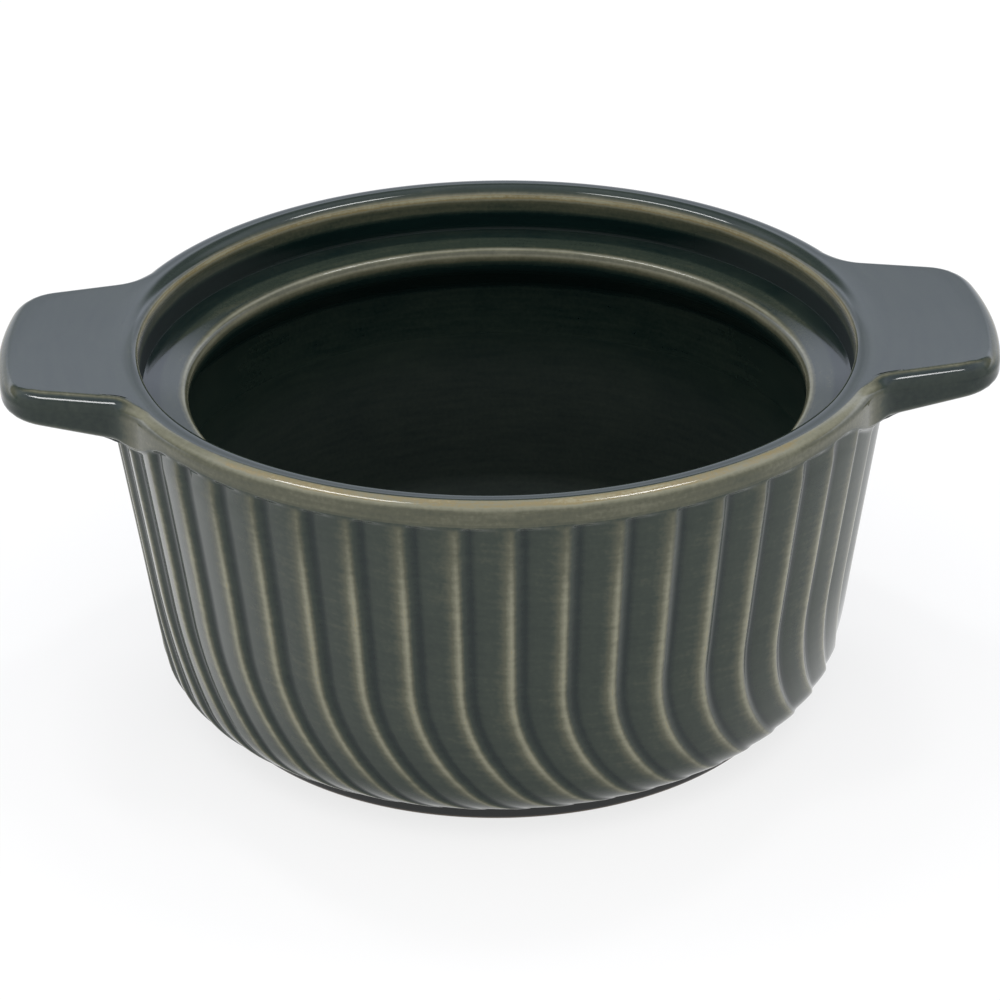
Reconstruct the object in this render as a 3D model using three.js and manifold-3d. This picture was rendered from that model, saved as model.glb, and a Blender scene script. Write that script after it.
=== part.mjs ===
// A mini casserole dish in glazed stoneware: fluted bowl, stepped rim with a lid seat, tab handles, low foot.
// Millimetres, +Z up. The dish stands on z = 0, centred on the Z axis, with its handles along X.
import * as THREE from "three";
import { mergeVertices } from "three/addons/utils/BufferGeometryUtils.js";
import Module from "manifold-3d";

const wasm = await Module();
wasm.setup();

const degrees = Math.PI / 180;

// The dish as a whole
const HEIGHT = 61.3;
const RIM_RADIUS = 62.5;
const LUTING_GAP = 0.3; // slip layer between a handle's root and the rim

// Rim and lid seat
const LIP_DEPTH = 2.4; // plain lip above the flutes
const LIP_OUTER_ROUND = 1.75;
const LIP_INNER_ROUND = 1.8;
const LIP_WIDTH = 5.4;
const SEAT_DEPTH = 8.3; // lid seat below the top of the rim
const RECESS_DRAFT = 0.9; // how far the recess wall leans in from the lip down to the seat
const SEAT_FILLET = 3;
const SEAT_WIDTH = 6.7;
const MOUTH_ROUND = 1.2;
const MOUTH_LAND = 0.9; // straight edge of the seat at the mouth
const SEAT_UNDERCUT = 4.9; // height of the slope from the mouth out to the inner wall

// Wall and floor
const WALL_THICKNESS = 7.5; // from flute ridge to inner wall
const WALL_TAPER = 7.9 * degrees;
const TAPER_TOP = HEIGHT - 5; // the rim stands upright above this height
const CORNER_RADIUS = 7.5;
const INNER_CORNER_RADIUS = 7;
const FLOOR_THICKNESS = 3.8;

// Foot
const FOOT_HEIGHT = 3.2;
const FOOT_RADIUS = 48.7;
const FOOT_WIDTH = 6;
const FOOT_CHAMFER = 0.5;

// Flutes: a step down just past each ridge, then a slow rise to the next one
const FLUTE_COUNT = 48;
const FLUTE_DEPTH = 1.3;
const FIRST_RIDGE = -0.95 * degrees;
const FLUTE_SECTION = [
  { along: 0, depth: 0 },
  { along: 0.2, depth: 1 },
  { along: 0.6, depth: 0.55 },
];
const SWIRL_START = 29; // below this height the flutes lean over on an arc
const SWIRL_RADIUS = 29;
const SWIRL_STEEPEST = 60 * degrees;

// Handles
const HANDLE_REACH = 17; // from the rim to the handle's tip
const HANDLE_HALF_WIDTH = 22.8; // at the rim
const HANDLE_SIDE_TAPER = 14 * degrees;
const HANDLE_CORNER_RADIUS = 6.5;
const HANDLE_TIP_BOW = 0.7;
const HANDLE_FLARE = 4.2; // how much wider the handle is where it meets the rim
const HANDLE_FLARE_END = 1; // the flare stops this far inside the rim's outermost point
const HANDLE_TIP_THICKNESS = 4.2;
const HANDLE_ROOT_THICKNESS = 6.4;
const HANDLE_EDGE_ROUND = 1.8;

const seatHeight = HEIGHT - SEAT_DEPTH;
const mouthBottom = seatHeight - MOUTH_ROUND - MOUTH_LAND;
const jointHeight = mouthBottom - SEAT_UNDERCUT; // the collar stands on the bowl here
const lipBottom = HEIGHT - LIP_DEPTH;
const floorTop = FOOT_HEIGHT + FLOOR_THICKNESS;
const seatOuterRadius = RIM_RADIUS - LIP_WIDTH - RECESS_DRAFT;
const mouthRadius = seatOuterRadius - SEAT_WIDTH;
const handleTip = RIM_RADIUS + HANDLE_REACH;
const handleFlareAngle = Math.asin((HANDLE_HALF_WIDTH + HANDLE_FLARE) / RIM_RADIUS);

function wallRadius(height) {
  return RIM_RADIUS - Math.max(TAPER_TOP - height, 0) * Math.tan(WALL_TAPER);
}

// The rounded lower corner is an arc that touches the tapered wall and the flat base.
const cornerCentreHeight = FOOT_HEIGHT + CORNER_RADIUS;
const cornerTop = cornerCentreHeight - CORNER_RADIUS * Math.sin(WALL_TAPER);
const cornerCentreRadius = wallRadius(cornerTop) - CORNER_RADIUS * Math.cos(WALL_TAPER);

function innerWallRadius(height) {
  return wallRadius(height) - WALL_THICKNESS;
}

// Outside of the bowl from the base's edge up to the collar, as points with a radius and a height
function outerProfile() {
  const cornerSteps = 6;
  const wallSteps = 5;
  const points = [];
  for (let i = 0; i <= cornerSteps; i++) {
    const angle = THREE.MathUtils.lerp(Math.PI / 2, WALL_TAPER, i / cornerSteps);
    points.push({
      radius: cornerCentreRadius + CORNER_RADIUS * Math.cos(angle),
      height: cornerCentreHeight - CORNER_RADIUS * Math.sin(angle),
      depth: i / cornerSteps,
    });
  }
  for (let i = 1; i <= wallSteps; i++) {
    const height = THREE.MathUtils.lerp(cornerTop, SWIRL_START, i / wallSteps);
    points.push({ radius: wallRadius(height), height, depth: 1 });
  }
  points.push({ radius: wallRadius(jointHeight), height: jointHeight, depth: 1 });
  addSwirl(points);
  return points;
}

// The flutes follow an arc down the wall: their lean grows with the length run below the swirl's start.
function addSwirl(points) {
  let run = 0;
  let turn = 0;
  for (let i = points.length - 1; i >= 0; i--) {
    const point = points[i];
    const above = points[i + 1];
    if (above && above.height <= SWIRL_START) {
      const steps = 8;
      const length = Math.hypot(point.radius - above.radius, point.height - above.height) / steps;
      for (let k = 0; k < steps; k++) {
        run += length;
        const lean = Math.min(Math.asin(Math.min(run / SWIRL_RADIUS, 1)), SWIRL_STEEPEST);
        turn += (Math.tan(lean) * length) / point.radius;
      }
    }
    point.turn = turn;
  }
}

// Inside of the bowl from the collar down to the edge of the floor
function innerProfile() {
  const steps = 4;
  const centreHeight = floorTop + INNER_CORNER_RADIUS;
  const wallBottom = centreHeight - INNER_CORNER_RADIUS * Math.sin(WALL_TAPER);
  const centreRadius = innerWallRadius(wallBottom) - INNER_CORNER_RADIUS * Math.cos(WALL_TAPER);
  const points = [{ radius: innerWallRadius(jointHeight), height: jointHeight }];
  for (let i = 0; i <= steps; i++) {
    const angle = THREE.MathUtils.lerp(WALL_TAPER, Math.PI / 2, i / steps);
    points.push({
      radius: centreRadius + INNER_CORNER_RADIUS * Math.cos(angle),
      height: centreHeight - INNER_CORNER_RADIUS * Math.sin(angle),
    });
  }
  return points;
}

// Angle and flute depth of every column around the dish
function fluteColumns() {
  const pitch = (2 * Math.PI) / FLUTE_COUNT;
  const columns = [];
  for (let flute = 0; flute < FLUTE_COUNT; flute++) {
    for (const { along, depth } of FLUTE_SECTION) {
      columns.push({ angle: FIRST_RIDGE + (flute + along) * pitch, depth: depth * FLUTE_DEPTH });
    }
  }
  return columns;
}

// Closed surface around the Z axis. Each column is a list of points with a radius, a height and a turn.
// A profile with poles is closed by one axis point at each end, otherwise its last row meets its first.
function turnedGeometry(columns, poles) {
  const rows = columns[0].points.length;
  const count = columns.length;
  const positions = [];
  const index = [];
  for (const { angle, points } of columns) {
    for (const { radius, height, turn = 0 } of points) {
      positions.push(radius * Math.cos(angle + turn), radius * Math.sin(angle + turn), height);
    }
  }
  const at = (column, row) => (column % count) * rows + (row % rows);
  const lastRow = poles ? rows - 1 : rows;
  for (let column = 0; column < count; column++) {
    for (let row = 0; row < lastRow; row++) {
      index.push(at(column, row), at(column + 1, row), at(column + 1, row + 1));
      index.push(at(column, row), at(column + 1, row + 1), at(column, row + 1));
    }
  }
  if (poles) {
    const [startHeight, endHeight] = poles;
    const start = positions.length / 3;
    positions.push(0, 0, startHeight, 0, 0, endHeight);
    for (let column = 0; column < count; column++) {
      index.push(start, at(column + 1, 0), at(column, 0));
      index.push(start + 1, at(column, rows - 1), at(column + 1, rows - 1));
    }
  }
  const geometry = new THREE.BufferGeometry();
  geometry.setAttribute("position", new THREE.Float32BufferAttribute(positions, 3));
  geometry.setIndex(index);
  geometry.computeVertexNormals();
  return geometry;
}

function bowlGeometry() {
  const outside = outerProfile();
  const inside = innerProfile();
  const columns = fluteColumns().map(({ angle, depth }) => {
    const fluted = outside.map((point) => ({ ...point, radius: point.radius - depth * point.depth }));
    return { angle, points: [...fluted, ...inside] };
  });
  return turnedGeometry(columns, [FOOT_HEIGHT, floorTop]);
}

// True where a handle's root covers the rim, which is plain there and square at the top.
function underHandle(angle) {
  return Math.abs(Math.sin(angle)) < Math.sin(handleFlareAngle);
}

function collarGeometry() {
  const roundSteps = 3;
  const rootBottom = HEIGHT - HANDLE_ROOT_THICKNESS;
  const columns = fluteColumns().map(({ angle, depth }) => {
    const covered = underHandle(angle);
    const groove = covered ? 0 : depth;
    const round = covered ? 0 : LIP_OUTER_ROUND;
    const points = [
      { radius: wallRadius(jointHeight) - depth, height: jointHeight },
      { radius: wallRadius(rootBottom - FLUTE_DEPTH) - depth, height: rootBottom - FLUTE_DEPTH },
      { radius: wallRadius(rootBottom) - groove, height: rootBottom },
      { radius: wallRadius(TAPER_TOP) - groove, height: TAPER_TOP },
      { radius: RIM_RADIUS - groove, height: lipBottom - FLUTE_DEPTH / 2 },
    ];
    for (let i = 0; i <= roundSteps; i++) {
      const angleUp = ((i / roundSteps) * Math.PI) / 2;
      points.push({
        radius: RIM_RADIUS - round * (1 - Math.cos(angleUp)),
        height: lipBottom + LIP_DEPTH * Math.sin(angleUp),
      });
    }
    for (let i = 0; i <= roundSteps; i++) {
      const angleIn = ((i / roundSteps) * Math.PI) / 2;
      points.push({
        radius: RIM_RADIUS - LIP_WIDTH + LIP_INNER_ROUND * (1 - Math.sin(angleIn)),
        height: HEIGHT - LIP_INNER_ROUND * (1 - Math.cos(angleIn)),
      });
    }
    for (let i = 0; i <= roundSteps; i++) {
      const angleDown = ((i / roundSteps) * Math.PI) / 2;
      points.push({
        radius: seatOuterRadius - SEAT_FILLET * (1 - Math.cos(angleDown)),
        height: seatHeight + SEAT_FILLET * (1 - Math.sin(angleDown)),
      });
    }
    points.push({ radius: mouthRadius + MOUTH_ROUND, height: seatHeight });
    points.push({ radius: mouthRadius, height: seatHeight - MOUTH_ROUND });
    points.push({ radius: mouthRadius, height: mouthBottom });
    points.push({ radius: innerWallRadius(jointHeight), height: jointHeight });
    return { angle, points };
  });
  return turnedGeometry(columns, null);
}

function footGeometry() {
  const inner = FOOT_RADIUS - FOOT_WIDTH;
  const points = [
    { radius: inner + FOOT_CHAMFER, height: 0 },
    { radius: FOOT_RADIUS - FOOT_CHAMFER, height: 0 },
    { radius: FOOT_RADIUS, height: FOOT_CHAMFER },
    { radius: FOOT_RADIUS, height: FOOT_HEIGHT },
    { radius: inner, height: FOOT_HEIGHT },
    { radius: inner, height: FOOT_CHAMFER },
  ];
  const segments = 96;
  const angleAt = (i) => (i / segments) * 2 * Math.PI;
  const columns = Array.from({ length: segments }, (_, i) => ({ angle: angleAt(i), points }));
  return turnedGeometry(columns, null);
}

// Plan of the +X handle: flared root inside the rim, tapering sides, round corners and a slightly bowed tip
function handlePlan() {
  const sideAt = (x) => HANDLE_HALF_WIDTH - (x - RIM_RADIUS) * Math.tan(HANDLE_SIDE_TAPER);
  const rootX = RIM_RADIUS * Math.cos(handleFlareAngle);
  const rootY = RIM_RADIUS * Math.sin(handleFlareAngle);
  const insideX = rootX - 2 * HANDLE_FLARE;
  const flareX = RIM_RADIUS - HANDLE_FLARE_END;
  const bendX = (rootX + flareX) / 2;
  const tipEdge = handleTip - HANDLE_TIP_BOW;
  const cornerX = tipEdge - HANDLE_CORNER_RADIUS;
  const cornerY = sideAt(tipEdge) - HANDLE_CORNER_RADIUS;
  const shape = new THREE.Shape();
  shape.moveTo(insideX, -rootY);
  shape.lineTo(rootX, -rootY);
  shape.quadraticCurveTo(bendX, -sideAt(bendX), flareX, -sideAt(flareX));
  shape.lineTo(cornerX, -sideAt(cornerX));
  shape.quadraticCurveTo(tipEdge, -sideAt(tipEdge), tipEdge, -cornerY);
  shape.quadraticCurveTo(handleTip + HANDLE_TIP_BOW, 0, tipEdge, cornerY);
  shape.quadraticCurveTo(tipEdge, sideAt(tipEdge), cornerX, sideAt(cornerX));
  shape.lineTo(flareX, sideAt(flareX));
  shape.quadraticCurveTo(bendX, sideAt(bendX), rootX, rootY);
  shape.lineTo(insideX, rootY);
  return shape;
}

function solidOf(geometry) {
  const plain = geometry.clone();
  plain.deleteAttribute("normal");
  plain.deleteAttribute("uv");
  const merged = mergeVertices(plain, 1e-4);
  const mesh = new wasm.Mesh({
    numProp: 3,
    vertProperties: new Float32Array(merged.attributes.position.array),
    triVerts: new Uint32Array(merged.index.array),
  });
  return new wasm.Manifold(mesh);
}

function geometryOf(solid) {
  const mesh = solid.getMesh();
  const geometry = new THREE.BufferGeometry();
  geometry.setAttribute("position", new THREE.BufferAttribute(mesh.vertProperties, 3));
  geometry.setIndex(new THREE.BufferAttribute(mesh.triVerts, 1));
  geometry.computeVertexNormals();
  return geometry;
}

// A flat plate under the rim's top plane that thins towards its tip, with its root hollowed to fit the rim
function handleGeometry() {
  const blank = new THREE.ExtrudeGeometry(handlePlan(), {
    depth: HANDLE_ROOT_THICKNESS - 2 * HANDLE_EDGE_ROUND,
    curveSegments: 5,
    bevelThickness: HANDLE_EDGE_ROUND,
    bevelSize: HANDLE_EDGE_ROUND,
    bevelOffset: -HANDLE_EDGE_ROUND,
    bevelSegments: 3,
  });
  blank.translate(0, 0, HANDLE_EDGE_ROUND - HANDLE_ROOT_THICKNESS);
  const position = blank.attributes.position;
  for (let i = 0; i < position.count; i++) {
    const out = THREE.MathUtils.clamp((position.getX(i) - RIM_RADIUS) / HANDLE_REACH, 0, 1);
    const thickness = THREE.MathUtils.lerp(HANDLE_ROOT_THICKNESS, HANDLE_TIP_THICKNESS, out);
    position.setZ(i, HEIGHT + (position.getZ(i) * thickness) / HANDLE_ROOT_THICKNESS);
  }
  const rim = new THREE.CylinderGeometry(RIM_RADIUS + LUTING_GAP, RIM_RADIUS + LUTING_GAP, 2 * HEIGHT, 120);
  rim.rotateX(Math.PI / 2);
  rim.translate(0, 0, HEIGHT);
  return geometryOf(solidOf(blank).subtract(solidOf(rim)));
}

function piece(name, geometry, material) {
  const mesh = new THREE.Mesh(geometry, material);
  mesh.name = name;
  return mesh;
}

function glaze() {
  return new THREE.MeshStandardMaterial({ color: 0x4a5350, roughness: 0.15, metalness: 0 });
}

function bareClay() {
  return new THREE.MeshStandardMaterial({ color: 0x5a4a38, roughness: 0.8, metalness: 0 });
}

const dish = new THREE.Group();
dish.name = "mini_casserole_dish";
dish.add(piece("bowl", bowlGeometry(), glaze()));
dish.add(piece("rim_collar", collarGeometry(), glaze()));
dish.add(piece("foot_ring", footGeometry(), bareClay()));

const handle = handleGeometry();
dish.add(piece("handle_right", handle, glaze()));
const handleLeft = piece("handle_left", handle.clone(), glaze());
handleLeft.rotation.z = Math.PI;
dish.add(handleLeft);

export default dish;
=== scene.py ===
import math

import bmesh
import bpy
from mathutils import Matrix, Vector


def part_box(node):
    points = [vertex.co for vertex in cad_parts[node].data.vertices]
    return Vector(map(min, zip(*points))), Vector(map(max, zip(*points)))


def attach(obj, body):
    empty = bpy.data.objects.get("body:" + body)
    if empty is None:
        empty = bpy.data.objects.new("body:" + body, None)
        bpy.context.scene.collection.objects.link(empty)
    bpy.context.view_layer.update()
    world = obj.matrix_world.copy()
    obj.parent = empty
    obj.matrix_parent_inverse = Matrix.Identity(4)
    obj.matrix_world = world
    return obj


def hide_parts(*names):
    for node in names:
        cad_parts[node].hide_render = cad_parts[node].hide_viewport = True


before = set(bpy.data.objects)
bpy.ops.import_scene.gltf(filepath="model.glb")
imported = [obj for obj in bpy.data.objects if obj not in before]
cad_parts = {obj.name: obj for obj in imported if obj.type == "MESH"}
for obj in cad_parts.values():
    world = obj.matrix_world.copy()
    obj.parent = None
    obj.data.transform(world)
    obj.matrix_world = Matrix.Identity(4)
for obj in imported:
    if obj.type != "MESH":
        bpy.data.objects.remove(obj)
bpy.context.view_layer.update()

mm = 0.001
right_angle = math.pi / 2

# Sizes that the solids give
foot_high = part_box("foot_ring")[1]
collar_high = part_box("rim_collar")[1]
handle_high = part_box("handle_right")[1]
HEIGHT = collar_high[2]
RIM_RADIUS = collar_high[1]
FOOT_RADIUS = foot_high[0]
FOOT_HEIGHT = foot_high[2]
HANDLE_TIP = handle_high[0]

# Rim and lid seat
LIP_DEPTH = 2.4 * mm
LIP_WIDTH = 5.4 * mm
LIP_INNER_WIDTH = 2.8 * mm
LIP_INNER_DEPTH = 1.4 * mm
LIP_OUTER_WIDTH = 2.6 * mm
LIP_OUTER_DEPTH = 1.3 * mm
LIP_UNDER_ROUND = 0.15 * mm
LIP_UNDER_SLOPE = 0.3 * mm
RIM_RISE_FRONT = 1 * mm
SEAT_DEPTH = 8.3 * mm
SEAT_RISE = 0.9 * mm
SEAT_FILLET = 0.08 * mm
RECESS_DRAFT = 0.4 * mm
SEAT_WIDTH = 7.2 * mm
MOUTH_ROUND = 1.3 * mm
MOUTH_LAND = 1.6 * mm
SEAT_UNDERCUT = 6 * mm

# Wall, floor and foot
WALL_THICKNESS = 7.5 * mm
WALL_TAPER = math.radians(7.9)
TAPER_TOP = HEIGHT - 5 * mm
CORNER_RADIUS = 7.5 * mm
INNER_CORNER_RADIUS = 5 * mm
FLOOR_THICKNESS = 3 * mm
FOOT_WIDTH = 6 * mm
FOOT_ROUND = 0.7 * mm
FOOT_COLUMNS = 240

# Flutes
FLUTE_COUNT = 48
FLUTE_DEPTH = 0.85 * mm
FIRST_RIDGE = math.radians(-0.77)
FLUTE_DEPTH_AT_CORNER = 0.6
FLUTE_DEPTH_AT_FOOT = 0.1
FLUTE_STEP = 0.26
FLUTE_HOLLOW = 1.3
FLUTE_TOP_FADE = 1 * mm
COLUMNS_IN_FLUTE = (0, 0.035, 0.075, 0.125, 0.19, 0.27, 0.38, 0.52, 0.7, 0.81, 0.89, 0.95)
SWIRL_START = 29 * mm
SWIRL_RADIUS = 29 * mm
SWIRL_STEEPEST = math.radians(60)

# Handles
HANDLE_HALF_WIDTH = 22.8 * mm
HANDLE_SIDE_TAPER = math.radians(13)
HANDLE_CORNER_RADIUS = 6.5 * mm
HANDLE_TIP_BOW = 1.1 * mm
HANDLE_FLARE = 4.2 * mm
HANDLE_FLARE_END = 1 * mm
HANDLE_TIP_THICKNESS = 4.3 * mm
HANDLE_ROOT_THICKNESS = 6.5 * mm
HANDLE_EDGE_WIDTH = 2.2 * mm
HANDLE_FRONT_EDGE_WIDTH = 3.6 * mm
HANDLE_EDGE_DEPTH = 1.9 * mm
HANDLE_UNDER_ROUND = 1.3 * mm
HANDLE_ROOT_FILLET = 1.8 * mm
HANDLE_SHIFT = 0.4 * mm
HANDLE_BLEND = 2.2 * mm
WEB_START = math.radians(9)
WEB_END = math.radians(-3)

# Glaze levels, from 0 where the glaze pools to 1 where it breaks thin
POOLED = 0.0
HOLLOW = 0.2
PLAIN = 0.44
OLIVE = 0.62
THIN = 0.85
TAN = 1.0
LIP_TAN = 0.92
GLAZE_ACROSS_FLUTE = ((0, THIN), (0.035, 0.79), (0.064, 0.64), (0.106, 0.46), (0.15, 0.34), (0.19, 0.26),
                      (0.245, 0.17), (0.29, 0.19), (0.36, 0.36), (0.4, 0.42), (0.7, 0.43), (0.77, 0.46),
                      (0.81, 0.5), (0.89, 0.61), (0.95, 0.74), (1, THIN))
RIDGE_FADE = 18 * mm
RIDGE_AT_TOP = 0.45
RIDGE_AT_CORNER = 0.75
CORNER_GLAZE = 0.34
WALL_TOP_GLAZE = 0.47
WALL_UNDER_HANDLE_GLAZE = 0.42
# Lighter glaze along the top edge of the deep flute grooves: thinner glaze on that edge and a painted
# highlight
BROW_GLAZE_AND_HIGHLIGHT = 0.12
RIM_TOP_GLAZE = 0.38
EDGE_GLAZE = 0.4
LIP_GLAZE_BY_HANDLE = 0.8
LIP_BREAK = 0.16
LIP_BREAK_AT_BACK = 0.42
LIP_UNDER_GLAZE = 0.58
LIP_ROOT_GLAZE = 0.57
HANDLE_TIP_GLAZE = 0.64
HANDLE_FRONT_GLAZE = 0.3
HANDLE_FRONT_EDGE_GLAZE = 0.72
HANDLE_SIDE_GLAZE = 0.28
HANDLE_UNDER_GLAZE = 0.25
HANDLE_LOW_EDGE_GLAZE = (0.36, 0.55)
MOUTH_GLAZE = (0.6, 0.82)
MOUTH_LAND_GLAZE = (0.2, 0.72)
SEAT_GLAZE = (0.43, 0.25)
RECESS_GLAZE = (0.13, 0.52)
INSIDE_GLAZE = 0.3
# The undercut is darker as painted shade under the mouth's overhang; the seat fillet is darker as pooled
# glaze plus painted shade in the crease
INSIDE_GLAZE_OF_PART = {"seat_fillet": 0.16, "undercut": 0.2, "floor": 0.25}

# Finishes and light
GLAZE_INDEX = 1.41
FRESH_ROUGHNESS = 0.08
SCOURED_ROUGHNESS = 0.75
FOOT_ROUGHNESS = 0.2
BRUSH_DRAW = 0.006
RECESS_WEAR = 0.9
ROOM_LEVEL = 0.86
PANEL_LEVEL = 1.62
PANEL_SIDE_LEVEL = 2.4
PANEL_SIDES = (0.22, 0.34)
PANEL_EDGE = (0.05, 0.45)
PANEL_TINT = (0.8, 0.85, 1)
FLOOR_HALF_SIZE = 4
FLOOR_WHITE = 0.95
PAPER_SHARE = 0.75

seat_height = HEIGHT - SEAT_DEPTH
lip_bottom = HEIGHT - LIP_DEPTH
floor_top = FOOT_HEIGHT + FLOOR_THICKNESS
recess_radius = RIM_RADIUS - LIP_WIDTH
crown_radius = recess_radius + LIP_INNER_WIDTH
seat_radius = recess_radius - RECESS_DRAFT
mouth_radius = seat_radius - SEAT_WIDTH
mouth_bottom = seat_height - MOUTH_ROUND - MOUTH_LAND
undercut_bottom = mouth_bottom - SEAT_UNDERCUT
columns_total = FLUTE_COUNT * len(COLUMNS_IN_FLUTE)
flute_pitch = 2 * math.pi / FLUTE_COUNT


def mix(a, b, share):
    return a + (b - a) * share


def ease(value, low=0.0, high=1.0):
    """A smooth rise from 0 at low to 1 at high."""
    share = min(max((value - low) / (high - low), 0.0), 1.0)
    return share * share * (3 - 2 * share)


def bell(value, middle, half_width):
    """1 at the middle of a stretch, falling to 0 at its ends."""
    return ease(1 - abs(value - middle) / half_width)


def follow(pairs, value):
    """The level at a value, from pairs of value and level joined by straight runs."""
    for (low, low_level), (high, high_level) in zip(pairs, pairs[1:]):
        if value <= high:
            return mix(low_level, high_level, (value - low) / (high - low))
    return pairs[-1][1]


def wall_radius(height):
    return RIM_RADIUS - max(TAPER_TOP - height, 0) * math.tan(WALL_TAPER)


def inner_radius(height):
    return wall_radius(height) - WALL_THICKNESS


def flat(angle, radius):
    return Vector((math.cos(angle), math.sin(angle))) * radius


# Profile of the dish, turned about the Z axis

class Profile:
    """Points of a turned shape in order, each with its part of the dish and its share of the way along."""

    def __init__(self, part, start):
        self.points = [(part, 0.0, *start)]

    @property
    def end(self):
        return self.points[-1][2:]

    def run(self, part, end, steps):
        start = self.end
        for i in range(1, steps + 1):
            share = i / steps
            self.points.append((part, share, mix(start[0], end[0], share), mix(start[1], end[1], share)))

    def sweep(self, part, end, steps):
        """An S-shaped run: it leaves and arrives upright."""
        start = self.end
        for i in range(1, steps + 1):
            share = i / steps
            radius = mix(start[0], end[0], ease(share))
            self.points.append((part, share, radius, mix(start[1], end[1], share)))

    def arc(self, part, centre, radii, first, last, steps):
        for i in range(1, steps + 1):
            share = i / steps
            angle = mix(first, last, share)
            radius = centre[0] + radii[0] * math.cos(angle)
            height = centre[1] + radii[1] * math.sin(angle)
            self.points.append((part, share, radius, height))


def dish_profile():
    """From the middle of the floor up the inside, over the rim and down the outside to the base."""
    profile = Profile("floor", (0, floor_top))
    inner = (INNER_CORNER_RADIUS, INNER_CORNER_RADIUS)
    centre_height = floor_top + INNER_CORNER_RADIUS
    wall_bottom = centre_height - INNER_CORNER_RADIUS * math.sin(WALL_TAPER)
    centre_radius = inner_radius(wall_bottom) - INNER_CORNER_RADIUS * math.cos(WALL_TAPER)
    profile.run("floor", (centre_radius, floor_top), 5)
    profile.arc("corner_inside", (centre_radius, centre_height), inner, -right_angle, -WALL_TAPER, 9)
    profile.run("inside", (inner_radius(undercut_bottom), undercut_bottom), 6)
    profile.sweep("undercut", (mouth_radius, mouth_bottom), 8)
    profile.run("mouth_land", (mouth_radius, mouth_bottom + MOUTH_LAND), 3)
    mouth = (mouth_radius + MOUTH_ROUND, seat_height - MOUTH_ROUND)
    slope = math.atan2(SEAT_RISE, SEAT_WIDTH - MOUTH_ROUND)
    profile.arc("mouth", mouth, (MOUTH_ROUND, MOUTH_ROUND), 2 * right_angle, right_angle + slope, 8)
    fillet = (seat_radius - SEAT_FILLET, seat_height + SEAT_RISE + SEAT_FILLET)
    seat_end = (fillet[0] + SEAT_FILLET * math.sin(slope), fillet[1] - SEAT_FILLET * math.cos(slope))
    profile.run("seat", seat_end, 12)
    profile.arc("seat_fillet", fillet, (SEAT_FILLET, SEAT_FILLET), slope - right_angle, 0, 6)
    profile.run("recess", (recess_radius, HEIGHT - LIP_INNER_DEPTH), 12)
    lip = (crown_radius, HEIGHT - LIP_INNER_DEPTH)
    profile.arc("lip_inner", lip, (LIP_INNER_WIDTH, LIP_INNER_DEPTH), 2 * right_angle, right_angle, 9)
    # These rows get their places from the plan. Here they are only kept apart.
    row_gap = 0.1 * mm
    rim_steps = {"top": 6, "edge": 14, "side": 3, "under_edge": 5, "underside": 6, "root": 8}
    for part, steps in rim_steps.items():
        profile.run(part, (RIM_RADIUS, profile.end[1] - row_gap), steps)
    profile.run("wall", (wall_radius(SWIRL_START), SWIRL_START), 12)
    corner_height = FOOT_HEIGHT + CORNER_RADIUS
    corner_top = corner_height - CORNER_RADIUS * math.sin(WALL_TAPER)
    corner_centre = wall_radius(corner_top) - CORNER_RADIUS * math.cos(WALL_TAPER)
    outer = (CORNER_RADIUS, CORNER_RADIUS)
    profile.run("swirl", (wall_radius(corner_top), corner_top), 20)
    profile.arc("corner", (corner_centre, corner_height), outer, -WALL_TAPER, -right_angle, 14)
    profile.run("base", (0, FOOT_HEIGHT), 4)
    return profile.points


def swirl_turns(points):
    """How far each point of the profile is turned about the axis, to lean the flutes over on an arc."""
    turns = []
    run = turn = 0.0
    for i, (part, _, radius, height) in enumerate(points):
        if part in ("swirl", "corner"):
            length = math.hypot(radius - points[i - 1][2], height - points[i - 1][3])
            run += length
            lean = min(math.asin(min((run - length / 2) / SWIRL_RADIUS, 1)), SWIRL_STEEPEST)
            turn += math.tan(lean) * length / radius
        turns.append(turn)
    return turns


# Plan of the rim and its two handles

def bend(a, b, c, steps):
    """A quadratic curve from a to c with its control point at b, without its first point."""
    points = []
    for i in range(1, steps + 1):
        t = i / steps
        points.append(a * (1 - t) ** 2 + b * (2 * t * (1 - t)) + c * t ** 2)
    return points


def handle_side(x):
    return HANDLE_HALF_WIDTH - (x - RIM_RADIUS) * math.tan(HANDLE_SIDE_TAPER)


def handle_plan():
    """One handle's outline from the rim on the -Y side, round the tip, to the rim on the +Y side."""
    root_y = HANDLE_HALF_WIDTH + HANDLE_FLARE
    root_x = math.sqrt(RIM_RADIUS ** 2 - root_y ** 2)
    flare_x = RIM_RADIUS - HANDLE_FLARE_END
    bend_x = (root_x + flare_x) / 2
    tip_edge = HANDLE_TIP - HANDLE_TIP_BOW
    corner_x = tip_edge - HANDLE_CORNER_RADIUS
    corner_y = handle_side(tip_edge) - HANDLE_CORNER_RADIUS
    root = Vector((root_x, root_y))
    flare = Vector((flare_x, handle_side(flare_x)))
    corner = Vector((corner_x, handle_side(corner_x)))
    tip = Vector((tip_edge, corner_y))
    lean = 2 * HANDLE_TIP_BOW / corner_y
    taper = math.tan(HANDLE_SIDE_TAPER)
    point_y = (HANDLE_HALF_WIDTH - (tip_edge + corner_y * lean - RIM_RADIUS) * taper) / (1 - lean * taper)
    point = Vector((tip_edge - (point_y - corner_y) * lean, point_y))
    half = [root]
    half += bend(root, Vector((bend_x, handle_side(bend_x))), flare, 24)
    half += bend(flare, (flare + corner) / 2, corner, 24)
    half += bend(corner, point, tip, 24)
    half += bend(tip, Vector((HANDLE_TIP, corner_y / 2)), Vector((HANDLE_TIP, 0)), 24)
    mirrored = [Vector((p.x, -p.y)) for p in half]
    return mirrored + half[-2::-1]


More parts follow.
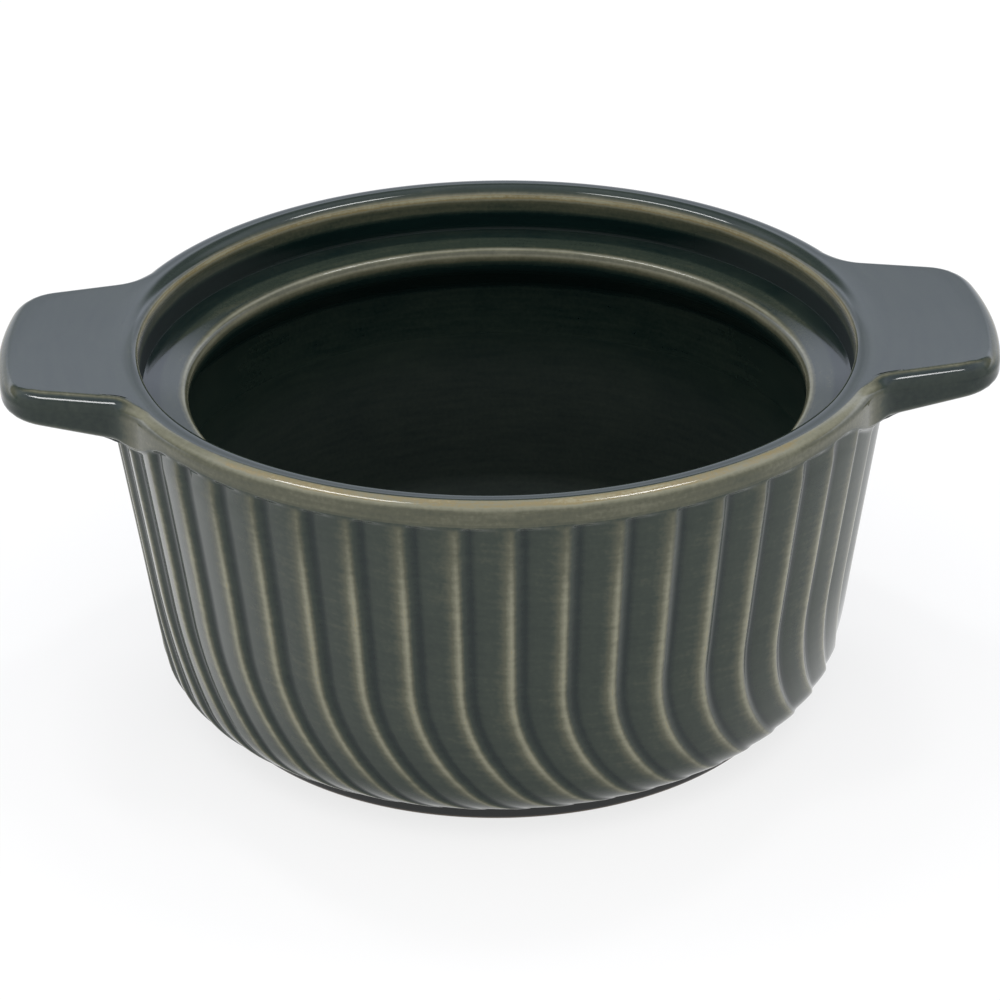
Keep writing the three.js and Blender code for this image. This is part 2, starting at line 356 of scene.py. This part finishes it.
class Plan:
    """The outline of the rim and handles: a point and an outward direction for each angle."""

    def __init__(self):
        self.outline = handle_plan()
        self.lengths = [0.0]
        for a, b in zip(self.outline, self.outline[1:]):
            self.lengths.append(self.lengths[-1] + (b - a).length)
        last = self.outline[-1]
        self.reach = math.atan2(last.y, last.x)

    def along_handle(self, distance):
        distance = min(max(distance, 0.0), self.lengths[-1])
        i = 1
        while self.lengths[i] < distance and i < len(self.lengths) - 1:
            i += 1
        share = (distance - self.lengths[i - 1]) / (self.lengths[i] - self.lengths[i - 1])
        return self.outline[i - 1].lerp(self.outline[i], share)

    def at(self, angle):
        """Outline point, outward direction, share of the way out on a handle, and angle from its root."""
        turned = 0.0 if math.cos(angle) > 0 else math.pi
        local = math.atan2(math.sin(angle - turned), math.cos(angle - turned))
        beyond = abs(local) - self.reach
        if beyond >= 0:
            return flat(angle, RIM_RADIUS), flat(angle, 1), 0.0, beyond
        distance = (local + self.reach) / (2 * self.reach) * self.lengths[-1]
        gap = 0.6 * mm
        point = self.along_handle(distance)
        step = self.along_handle(distance + gap) - self.along_handle(distance - gap)
        outward = Vector((step.y, -step.x)).normalized()
        out = min(max((point.length - RIM_RADIUS) / (HANDLE_TIP - RIM_RADIUS), 0.0), 1.0)
        turn = Matrix.Rotation(turned, 2)
        return turn @ point + Vector((HANDLE_SHIFT * out, 0)), turn @ outward, out, beyond


# Flutes

def flute_section(across):
    """Depth of a flute from 0 at its ridge to 1: a step down past the ridge, then a slow rise."""
    if across < FLUTE_STEP:
        return ease(across, 0, FLUTE_STEP)
    return ((1 - across) / (1 - FLUTE_STEP)) ** FLUTE_HOLLOW


def thinned(level, strength):
    """A glaze level with its thin part held back, so that a ridge shows less."""
    return PLAIN + (level - PLAIN) * strength if level > PLAIN else level


class Column:
    """One meridian of the dish: its angle, its place across a flute and its place on the plan."""

    def __init__(self, number, plan):
        flute, place = divmod(number, len(COLUMNS_IN_FLUTE))
        across = COLUMNS_IN_FLUTE[place]
        self.angle = FIRST_RIDGE + (flute + across) * flute_pitch
        self.depth = flute_section(across)
        self.flute_glaze = follow(GLAZE_ACROSS_FLUTE, across)
        self.outline, self.outward, self.out, beyond = plan.at(self.angle)
        self.on_handle = ease(self.outline.length - RIM_RADIUS, 0, HANDLE_BLEND)
        self.by_handle = ease(abs(math.cos(self.angle)), 0.5, 0.85)
        self.lip_glaze = mix(LIP_TAN, LIP_GLAZE_BY_HANDLE, self.by_handle)
        self.lip_start = 0 if self.outline.y < 0 else LIP_BREAK_AT_BACK
        self.top = HEIGHT + RIM_RISE_FRONT * ease(-math.sin(self.angle), 0.4, 1)
        self.faces_front = ease(-self.outward.y, 0.5, 0.9)
        handle_width = mix(HANDLE_EDGE_WIDTH, HANDLE_FRONT_EDGE_WIDTH, self.faces_front)
        self.edge_round = mix(LIP_OUTER_WIDTH, handle_width, self.on_handle)
        self.edge_drop = mix(LIP_OUTER_DEPTH, HANDLE_EDGE_DEPTH, self.on_handle)
        self.under_round = mix(LIP_UNDER_ROUND, HANDLE_UNDER_ROUND, self.on_handle)
        self.under_inset = HANDLE_UNDER_ROUND * self.on_handle
        thickness = mix(HANDLE_ROOT_THICKNESS, HANDLE_TIP_THICKNESS, self.out)
        self.web = ease(-beyond, -WEB_START, -WEB_END)
        self.low = HEIGHT - mix(LIP_DEPTH - LIP_UNDER_SLOPE, thickness, self.web)
        handle_bottom = HEIGHT - HANDLE_ROOT_THICKNESS - LIP_UNDER_SLOPE
        self.root_height = mix(lip_bottom, handle_bottom, self.web)
        self.root_fillet = mix(FLUTE_TOP_FADE, HANDLE_ROOT_FILLET, self.web)
        self.inset_edge = self.outline - self.outward * self.edge_round
        self.inset_under = self.outline - self.outward * self.under_inset
        self.root = flat(self.angle, RIM_RADIUS)
        to_edge = (self.inset_under - self.root).normalized()
        self.fillet_start = self.root + to_edge * self.root_fillet * self.on_handle

    def on_wall(self, height):
        """Radius and glaze of the fluted wall, which starts plain under the rim or the handle, with a
        painted highlight along the tops of the deep grooves.
        """
        drop = self.root_height - height
        fade = ease(drop, 0, FLUTE_TOP_FADE)
        by_top = bell(drop, 0.3 * FLUTE_TOP_FADE, 0.5 * FLUTE_TOP_FADE)
        # The brow lightens the top edge of the deeper grooves: thinner glaze there and a painted highlight
        brow_and_highlight = BROW_GLAZE_AND_HIGHLIGHT * by_top * ease(self.depth, 0.6, 1)
        ridge = thinned(self.flute_glaze, mix(RIDGE_AT_TOP, 1, ease(drop, 0, RIDGE_FADE)))
        glaze = mix(mix(WALL_TOP_GLAZE, WALL_UNDER_HANDLE_GLAZE, self.web), ridge, fade) + brow_and_highlight
        return wall_radius(height) - self.depth * FLUTE_DEPTH * fade, glaze


# Where each part of the turned profile goes, and how the glaze lies on it

def place_top(share, radius, height, turn, column):
    inner = flat(column.angle, crown_radius)
    return Vector((*inner.lerp(column.inset_edge, share), column.top)), RIM_TOP_GLAZE


def place_edge(share, radius, height, turn, column):
    swing = share * right_angle
    place = column.inset_edge + column.outward * (column.edge_round * math.sin(swing))
    drop = column.edge_drop * (1 - math.cos(swing))
    begun = ease(share, column.lip_start, column.lip_start + LIP_BREAK)
    broken = begun * (1 - 0.4 * ease(share, 0.4, 0.95))
    rim_glaze = max(column.lip_glaze * broken, mix(EDGE_GLAZE, OLIVE, ease(share, 0.3, 0.7)))
    tip_glaze = mix(EDGE_GLAZE, HANDLE_TIP_GLAZE, bell(share, 0.45, 0.45))
    front_glaze = mix(HANDLE_FRONT_GLAZE, HANDLE_FRONT_EDGE_GLAZE, bell(share, 0.14, 0.16))
    handle_glaze = mix(tip_glaze, front_glaze, column.faces_front)
    return Vector((*place, column.top - drop)), mix(rim_glaze, handle_glaze, column.on_handle)


def place_side(share, radius, height, turn, column):
    top = column.top - column.edge_drop
    height = mix(top, column.low + column.under_round, share)
    return Vector((*column.outline, height)), mix(OLIVE, HANDLE_SIDE_GLAZE, column.on_handle)


def place_under_edge(share, radius, height, turn, column):
    swing = share * right_angle
    place = column.outline - column.outward * (column.under_inset * (1 - math.cos(swing)))
    height = column.low + column.under_round * (1 - math.sin(swing))
    handle_glaze = mix(*HANDLE_LOW_EDGE_GLAZE, bell(share, 0.5, 0.5))
    return Vector((*place, height)), mix(LIP_UNDER_GLAZE, handle_glaze, column.on_handle)


def place_underside(share, radius, height, turn, column):
    place = column.inset_under.lerp(column.fillet_start, share)
    height = mix(column.low, column.root_height, share)
    return Vector((*place, height)), mix(LIP_ROOT_GLAZE, HANDLE_UNDER_GLAZE, column.on_handle)


def place_root(share, radius, height, turn, column):
    swing = share * right_angle
    place = column.fillet_start.lerp(column.root, math.sin(swing))
    height = column.root_height - column.root_fillet * (1 - math.cos(swing))
    wall, glaze = column.on_wall(height)
    reach = max(place.length - (RIM_RADIUS - wall), 0)
    return Vector((*(place.normalized() * reach), height)), glaze


def place_wall(share, radius, height, turn, column):
    height = mix(column.root_height - column.root_fillet, SWIRL_START, share)
    radius, glaze = column.on_wall(height)
    return Vector((*flat(column.angle, radius), height)), glaze


def place_swirl(share, radius, height, turn, column):
    depth = column.depth * FLUTE_DEPTH * mix(1, FLUTE_DEPTH_AT_CORNER, share)
    glaze = thinned(column.flute_glaze, mix(1, RIDGE_AT_CORNER, ease(share, 0.7, 1)))
    return Vector((*flat(column.angle + turn, radius - depth), height)), glaze


def place_corner(share, radius, height, turn, column):
    depth_left = mix(FLUTE_DEPTH_AT_CORNER, FLUTE_DEPTH_AT_FOOT, ease(share, 0, 0.9))
    depth = column.depth * FLUTE_DEPTH * depth_left
    glaze = mix(thinned(column.flute_glaze, RIDGE_AT_CORNER), CORNER_GLAZE, ease(share, 0.4, 0.9))
    return Vector((*flat(column.angle + turn, radius - depth), height)), glaze


def glaze_inside(part, share):
    """Glaze on the plain turned surfaces: the inside, the lid seat and the base, with painted shade in the
    undercut and the seat fillet.
    """
    if part == "mouth":
        return mix(*MOUTH_GLAZE, max(bell(share, 0.15, 0.3), bell(share, 0.8, 0.25)))
    if part == "mouth_land":
        return mix(*MOUTH_LAND_GLAZE, ease(share))
    if part == "seat":
        return mix(*SEAT_GLAZE, ease(share, 0.5, 0.6))
    if part == "recess":
        return mix(mix(*RECESS_GLAZE, ease(share, 0.45, 0.57)), TAN, ease(share, 0.78, 0.98))
    if part == "lip_inner":
        return mix(TAN, EDGE_GLAZE, ease(share, 0, 0.42))
    return INSIDE_GLAZE_OF_PART.get(part, INSIDE_GLAZE)


def place_turned(part, share, radius, height, turn, column):
    if part == "lip_inner":
        height += column.top - HEIGHT
    return Vector((*flat(column.angle + turn, radius), height)), glaze_inside(part, share)


PLACED = {
    "top": place_top,
    "edge": place_edge,
    "side": place_side,
    "under_edge": place_under_edge,
    "underside": place_underside,
    "root": place_root,
    "wall": place_wall,
    "swirl": place_swirl,
    "corner": place_corner,
}


def wear_inside(part, share, column):
    """Wear of the gloss, from 0 where it is fresh to 1 where it is scoured, as on the floor."""
    if part in ("floor", "corner_inside", "seat_fillet"):
        return 1.0
    if part == "inside":
        return 1 - ease(share, 0.3, 1)
    if part == "recess":
        return RECESS_WEAR * column.by_handle * (1 - ease(share, 0.6, 0.9))
    return 0.0


def turned_mesh(points, steps):
    """A profile spun about the Z axis, with each vertex marked by its place on the profile."""
    bm = bmesh.new()
    row = bm.verts.layers.int.new("row")
    verts = []
    for i, (_, _, radius, height) in enumerate(points):
        vert = bm.verts.new((radius, 0, height))
        vert[row] = i
        verts.append(vert)
    edges = [bm.edges.new(pair) for pair in zip(verts, verts[1:])]
    bmesh.ops.spin(
        bm, geom=verts + edges, cent=(0, 0, 0), axis=(0, 0, 1), dvec=(0, 0, 0),
        angle=2 * math.pi, steps=steps, use_merge=True, use_normal_flip=False, use_duplicate=False,
    )
    return bm, row


def finish_piece(bm, name, material, nodes):
    bmesh.ops.remove_doubles(bm, verts=bm.verts, dist=1e-6)
    bmesh.ops.recalc_face_normals(bm, faces=bm.faces)
    for face in bm.faces:
        face.smooth = True
    mesh = bpy.data.meshes.new(name)
    bm.to_mesh(mesh)
    bm.free()
    piece = bpy.data.objects.new(name, mesh)
    bpy.context.scene.collection.objects.link(piece)
    mesh.materials.append(material)
    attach(piece, "root")
    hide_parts(*nodes)


def make_dish(material):
    points = dish_profile()
    turns = swirl_turns(points)
    plan = Plan()
    columns = [Column(i, plan) for i in range(columns_total)]
    bm, row = turned_mesh(points, columns_total)
    glaze = bm.verts.layers.float.new("glaze")
    wear = bm.verts.layers.float.new("wear")
    for vert in bm.verts:
        angle = math.atan2(vert.co.y, vert.co.x) % (2 * math.pi)
        column = columns[round(angle / (2 * math.pi) * columns_total) % columns_total]
        part, share, radius, height = points[vert[row]]
        turn = turns[vert[row]]
        vert[wear] = wear_inside(part, share, column)
        if part in PLACED:
            vert.co, vert[glaze] = PLACED[part](share, radius, height, turn, column)
        else:
            vert.co, vert[glaze] = place_turned(part, share, radius, height, turn, column)
    nodes = ("bowl", "rim_collar", "handle_left", "handle_right")
    finish_piece(bm, "glazed_dish", material, nodes)


def make_foot(material):
    inner = FOOT_RADIUS - FOOT_WIDTH
    rounding = (FOOT_ROUND, FOOT_ROUND)
    profile = Profile("top", (inner, FOOT_HEIGHT))
    profile.run("inner", (inner, FOOT_ROUND), 4)
    profile.arc("stand", (inner + FOOT_ROUND, FOOT_ROUND), rounding, 2 * right_angle, 3 * right_angle, 5)
    profile.run("stand", (FOOT_RADIUS - FOOT_ROUND, 0), 4)
    profile.arc("stand", (FOOT_RADIUS - FOOT_ROUND, FOOT_ROUND), rounding, -right_angle, 0, 5)
    profile.run("outer", (FOOT_RADIUS, FOOT_HEIGHT), 4)
    profile.run("top", (inner, FOOT_HEIGHT), 2)
    bm, _ = turned_mesh(profile.points, FOOT_COLUMNS)
    finish_piece(bm, "foot", material, ("foot_ring",))


# Finishes

def new_material(name):
    material = bpy.data.materials.new(name)
    material.use_nodes = True
    nodes = material.node_tree.nodes
    return material, nodes, material.node_tree.links, nodes["Principled BSDF"]


def ramp_node(nodes, stops):
    """A colour ramp from pairs of position and colour."""
    ramp = nodes.new("ShaderNodeValToRGB")
    elements = ramp.color_ramp.elements
    for i, (position, colour) in enumerate(stops):
        element = elements[i] if i < 2 else elements.new(position)
        element.position = position
        element.color = (*colour, 1)
    return ramp


def around_axis(nodes, links, place):
    """Places for a pattern drawn out around the axis, as the brush left the glaze on the turning dish."""
    split = nodes.new("ShaderNodeSeparateXYZ")
    links.new(place, split.inputs[0])
    plan = nodes.new("ShaderNodeCombineXYZ")
    links.new(split.outputs["X"], plan.inputs["X"])
    links.new(split.outputs["Y"], plan.inputs["Y"])
    radius = nodes.new("ShaderNodeVectorMath")
    radius.operation = "LENGTH"
    links.new(plan.outputs[0], radius.inputs[0])
    angle = nodes.new("ShaderNodeMath")
    angle.operation = "ARCTAN2"
    links.new(split.outputs["Y"], angle.inputs[0])
    links.new(split.outputs["X"], angle.inputs[1])
    drawn = nodes.new("ShaderNodeMath")
    drawn.operation = "MULTIPLY"
    drawn.inputs[1].default_value = BRUSH_DRAW
    links.new(angle.outputs[0], drawn.inputs[0])
    joined = nodes.new("ShaderNodeCombineXYZ")
    links.new(radius.outputs["Value"], joined.inputs["X"])
    links.new(drawn.outputs[0], joined.inputs["Y"])
    links.new(split.outputs["Z"], joined.inputs["Z"])
    return joined.outputs[0]


def glaze_finish():
    """Dark green glaze that pools blue-black in hollows and breaks to tan on edges."""
    material, nodes, links, shader = new_material("breaking_glaze")
    layer = nodes.new("ShaderNodeAttribute")
    layer.attribute_name = "glaze"
    place = nodes.new("ShaderNodeTexCoord")
    level = layer.outputs["Fac"]
    on_dish = place.outputs["Object"]
    brushed = around_axis(nodes, links, on_dish)
    for source, scale, amount in ((on_dish, 70, 0.07), (on_dish, 1500, 0.07), (brushed, 1100, 0.09)):
        cloud = nodes.new("ShaderNodeTexNoise")
        cloud.inputs["Scale"].default_value = scale
        cloud.inputs["Detail"].default_value = 3
        links.new(source, cloud.inputs["Vector"])
        drift = nodes.new("ShaderNodeMapRange")
        drift.inputs["To Min"].default_value = -amount
        drift.inputs["To Max"].default_value = amount
        links.new(cloud.outputs["Fac"], drift.inputs["Value"])
        total = nodes.new("ShaderNodeMath")
        total.operation = "ADD"
        links.new(level, total.inputs[0])
        links.new(drift.outputs[0], total.inputs[1])
        level = total.outputs[0]
    ramp = ramp_node(nodes, (
        (POOLED, (0.002, 0.0053, 0.0056)),
        (TAN, (0.34, 0.326, 0.224)),
        (HOLLOW, (0.0033, 0.0106, 0.0096)),
        (PLAIN, (0.0233, 0.0333, 0.0246)),
        (OLIVE, (0.077, 0.0785, 0.0505)),
        (THIN, (0.206, 0.202, 0.142)),
        (LIP_TAN, (0.233, 0.19, 0.096)),
    ))
    links.new(level, ramp.inputs["Fac"])
    links.new(ramp.outputs["Color"], shader.inputs["Base Color"])
    scoured = nodes.new("ShaderNodeAttribute")
    scoured.attribute_name = "wear"
    gloss = nodes.new("ShaderNodeMapRange")
    gloss.inputs["To Min"].default_value = FRESH_ROUGHNESS
    gloss.inputs["To Max"].default_value = SCOURED_ROUGHNESS
    links.new(scoured.outputs["Fac"], gloss.inputs["Value"])
    links.new(gloss.outputs[0], shader.inputs["Roughness"])
    shader.inputs["IOR"].default_value = GLAZE_INDEX
    return material


def foot_finish():
    """Dark glaze, painted near black for the shade under the dish, wiped back to the clay where the dish
    stands.
    """
    material, nodes, links, shader = new_material("wiped_and_shaded_foot")
    place = nodes.new("ShaderNodeTexCoord")
    split = nodes.new("ShaderNodeSeparateXYZ")
    links.new(place.outputs["Object"], split.inputs[0])
    height = nodes.new("ShaderNodeMapRange")
    height.inputs["From Max"].default_value = FOOT_HEIGHT
    links.new(split.outputs["Z"], height.inputs["Value"])
    # Above the clay line the glaze is painted near black: the dish's own dark glaze plus painted shade
    # from under the dish
    ramp = ramp_node(nodes, ((0.04, (0.186, 0.126, 0.073)), (0.2, (0.004, 0.006, 0.006))))
    links.new(height.outputs[0], ramp.inputs["Fac"])
    links.new(ramp.outputs["Color"], shader.inputs["Base Color"])
    shader.inputs["Roughness"].default_value = FOOT_ROUGHNESS
    return material


# Studio

def grey(level):
    return (level, level, level)


def paint_world():
    """An even room with a bluish light panel low behind the dish, brighter to both sides."""
    world = bpy.data.worlds.new("studio")
    bpy.context.scene.world = world
    world.use_nodes = True
    nodes = world.node_tree.nodes
    links = world.node_tree.links
    way = nodes.new("ShaderNodeTexCoord")
    split = nodes.new("ShaderNodeSeparateXYZ")
    links.new(way.outputs["Generated"], split.inputs[0])
    aside = nodes.new("ShaderNodeMath")
    aside.operation = "ABSOLUTE"
    links.new(split.outputs["X"], aside.inputs[0])
    panel = ramp_node(nodes, (
        (0.3, grey(0.5)),
        (0.75, grey(0.52)),
        (0.4, grey(0.7)),
        (0.44, grey(1)),
        (0.47, grey(1)),
        (0.55, grey(0.13)),
        (0.62, grey(0.16)),
    ))
    panel.color_ramp.interpolation = "EASE"
    links.new(split.outputs["Z"], panel.inputs["Fac"])
    sides = nodes.new("ShaderNodeMapRange")
    sides.interpolation_type = "SMOOTHSTEP"
    sides.inputs["From Min"].default_value = PANEL_SIDES[0]
    sides.inputs["From Max"].default_value = PANEL_SIDES[1]
    sides.inputs["To Min"].default_value = PANEL_LEVEL
    sides.inputs["To Max"].default_value = PANEL_SIDE_LEVEL
    links.new(aside.outputs[0], sides.inputs["Value"])
    panel_strength = nodes.new("ShaderNodeMath")
    panel_strength.operation = "MULTIPLY"
    links.new(panel.outputs["Color"], panel_strength.inputs[0])
    links.new(sides.outputs[0], panel_strength.inputs[1])
    behind = nodes.new("ShaderNodeMapRange")
    behind.interpolation_type = "SMOOTHSTEP"
    behind.inputs["From Min"].default_value = PANEL_EDGE[0]
    behind.inputs["From Max"].default_value = PANEL_EDGE[1]
    links.new(split.outputs["Y"], behind.inputs["Value"])
    strength = nodes.new("ShaderNodeMix")
    strength.inputs["A"].default_value = ROOM_LEVEL
    links.new(behind.outputs[0], strength.inputs["Factor"])
    links.new(panel_strength.outputs[0], strength.inputs["B"])
    colour = ramp_node(nodes, ((0, grey(1)), (1, PANEL_TINT)))
    links.new(behind.outputs[0], colour.inputs["Fac"])
    background = nodes["Background"]
    links.new(colour.outputs["Color"], background.inputs["Color"])
    links.new(strength.outputs["Result"], background.inputs["Strength"])


def lay_floor():
    """A white floor that keeps the shadow of the dish. Seen directly, it is mostly plain white paper."""
    bm = bmesh.new()
    bmesh.ops.create_grid(bm, x_segments=2, y_segments=2, size=FLOOR_HALF_SIZE)
    mesh = bpy.data.meshes.new("floor")
    bm.to_mesh(mesh)
    bm.free()
    floor = bpy.data.objects.new("floor", mesh)
    bpy.context.scene.collection.objects.link(floor)
    material, nodes, links, shader = new_material("white_floor")
    shader.inputs["Base Color"].default_value = (*grey(FLOOR_WHITE), 1)
    shader.inputs["Roughness"].default_value = 1
    shader.inputs["Specular IOR Level"].default_value = 0
    ray = nodes.new("ShaderNodeLightPath")
    seen = ray.outputs["Is Camera Ray"]
    for kind in ("Is Glossy Ray", "Is Transmission Ray"):
        either = nodes.new("ShaderNodeMath")
        either.operation = "MAXIMUM"
        links.new(seen, either.inputs[0])
        links.new(ray.outputs[kind], either.inputs[1])
        seen = either.outputs[0]
    share = nodes.new("ShaderNodeMath")
    share.operation = "MULTIPLY"
    share.inputs[1].default_value = PAPER_SHARE
    links.new(seen, share.inputs[0])
    paper = nodes.new("ShaderNodeEmission")
    blend = nodes.new("ShaderNodeMixShader")
    links.new(share.outputs[0], blend.inputs["Fac"])
    links.new(shader.outputs[0], blend.inputs[1])
    links.new(paper.outputs[0], blend.inputs[2])
    links.new(blend.outputs[0], nodes["Material Output"].inputs["Surface"])
    mesh.materials.append(material)


def hang_lamp(name, place, size, power):
    lamp = bpy.data.lights.new(name, "AREA")
    lamp.shape = "RECTANGLE"
    lamp.size, lamp.size_y = size
    lamp.energy = power
    holder = bpy.data.objects.new(name, lamp)
    holder.location = place
    aim = Vector((0, 0, HEIGHT)) - Vector(place)
    holder.rotation_euler = aim.to_track_quat("-Z", "Y").to_euler()
    bpy.context.scene.collection.objects.link(holder)


def place_camera():
    elevation = math.radians(27.4)
    turn = math.radians(2.3)
    roll = math.radians(0.733)
    distance_mm = 586.3
    distance = distance_mm * mm
    target = Vector((0, 0, 36 * mm))
    pixels_across = 1000
    pixels_per_mm = 6.149
    focal_pixels = pixels_per_mm * distance_mm
    target_pixel = (498.68, 469.8)
    back = Vector((
        -math.cos(elevation) * math.sin(turn), -math.cos(elevation) * math.cos(turn), math.sin(elevation),
    ))
    camera = bpy.data.cameras.new("camera")
    camera.sensor_width = 36
    camera.lens = focal_pixels / pixels_across * camera.sensor_width
    holder = bpy.data.objects.new("camera", camera)
    look = (-back).to_track_quat("-Z", "Y").to_matrix()
    right, up = look.col[0], look.col[1]
    per_pixel = distance / focal_pixels
    middle = pixels_across / 2
    across = (middle - target_pixel[0]) * per_pixel
    down = (middle - target_pixel[1]) * per_pixel
    aim = target + right * across - up * down
    place = target + back * distance
    look = (aim - place).to_track_quat("-Z", "Y").to_matrix() @ Matrix.Rotation(-roll, 3, "Z")
    holder.matrix_world = Matrix.Translation(place) @ look.to_4x4()
    bpy.context.scene.collection.objects.link(holder)
    bpy.context.scene.camera = holder


make_dish(glaze_finish())
make_foot(foot_finish())
paint_world()
lay_floor()
hang_lamp("left_softbox", (-0.265, 0.345, 0.95), (0.08, 0.33), 1.5)
hang_lamp("right_softbox", (0.265, 0.305, 0.95), (0.09, 0.22), 1.13)
hang_lamp("left_fill", (-0.83, -0.75, 1.05), (2.4, 2.4), 5.2)
hang_lamp("right_fill", (0.83, -0.75, 1.05), (2.4, 2.4), 5.2)
place_camera()
bpy.context.scene.view_settings.view_transform = "Standard"
